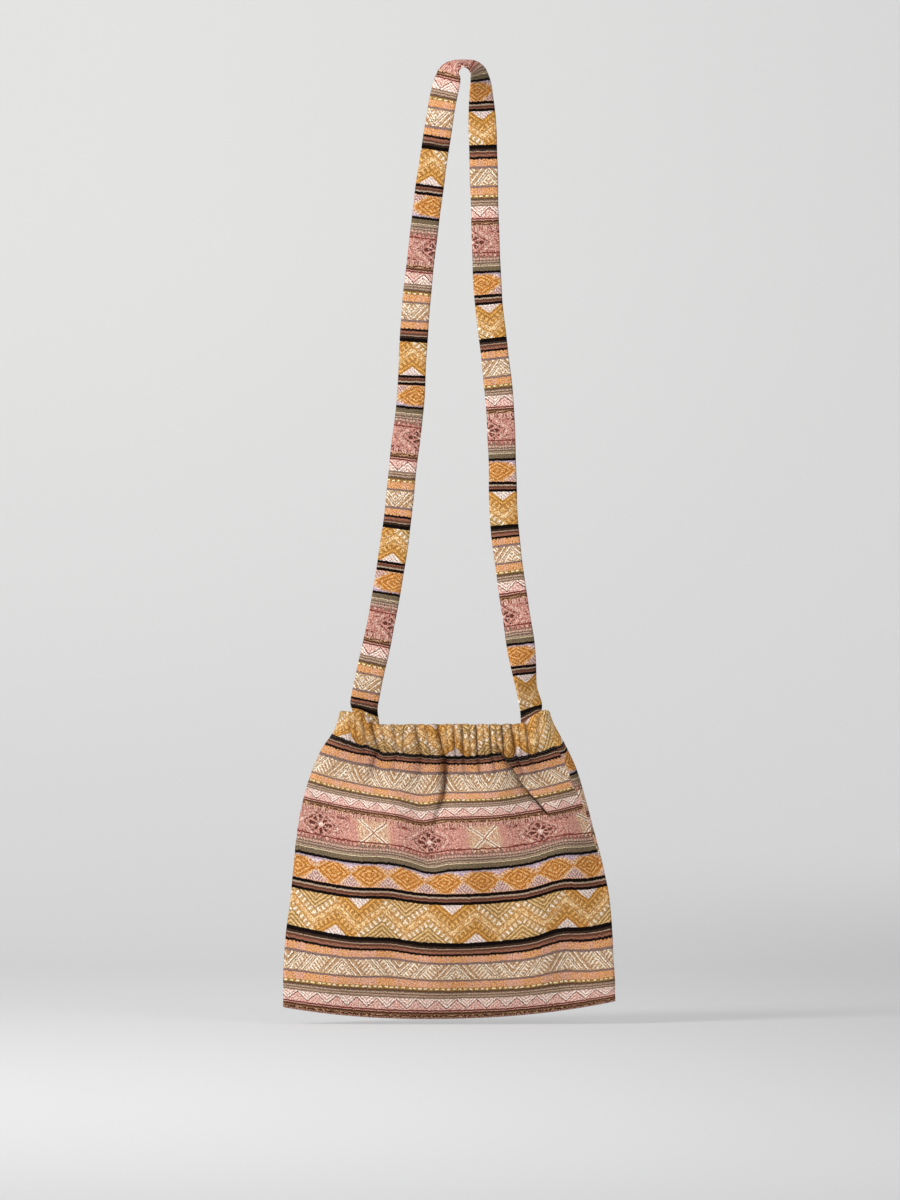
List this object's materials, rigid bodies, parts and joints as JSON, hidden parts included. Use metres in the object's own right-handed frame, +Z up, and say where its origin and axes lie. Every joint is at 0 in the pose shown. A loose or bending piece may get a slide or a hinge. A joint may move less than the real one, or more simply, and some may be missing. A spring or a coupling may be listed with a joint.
{
  "type": "gathered cloth shoulder bag",
  "caption": "Soft patterned cloth bag with an elasticated gathered mouth, a folded bottom edge and one long flat cloth strap, hanging by its strap.",
  "frame": {"origin": "where the strap's loop bears on its peg: the level of the loop's underside, over the gap between its legs", "axes": "+Z up, +X to the right of the bag as its front is seen, -Y out of the bag's front"},
  "size_m": [0.2832, 0.0578, 0.8182],
  "materials": {
    "bag_cloth": "matt woven cloth with rows of zigzags, diamonds, stars and stripes",
    "strap_cloth": "matt woven cloth, the bag's rows running across the strap",
    "elastic": "matt knitted elastic",
    "dark_thread": "matt sewing thread",
    "tack_thread": "matt sewing thread"
  },
  "bodies": {
    "root": {"bag_body": "bag_cloth", "shoulder_strap": "strap_cloth", "elastic_band": "elastic", "casing_stitching": "dark_thread", "left_strap_tack": "tack_thread", "right_strap_tack": "tack_thread"}
  },
  "joints": []
}
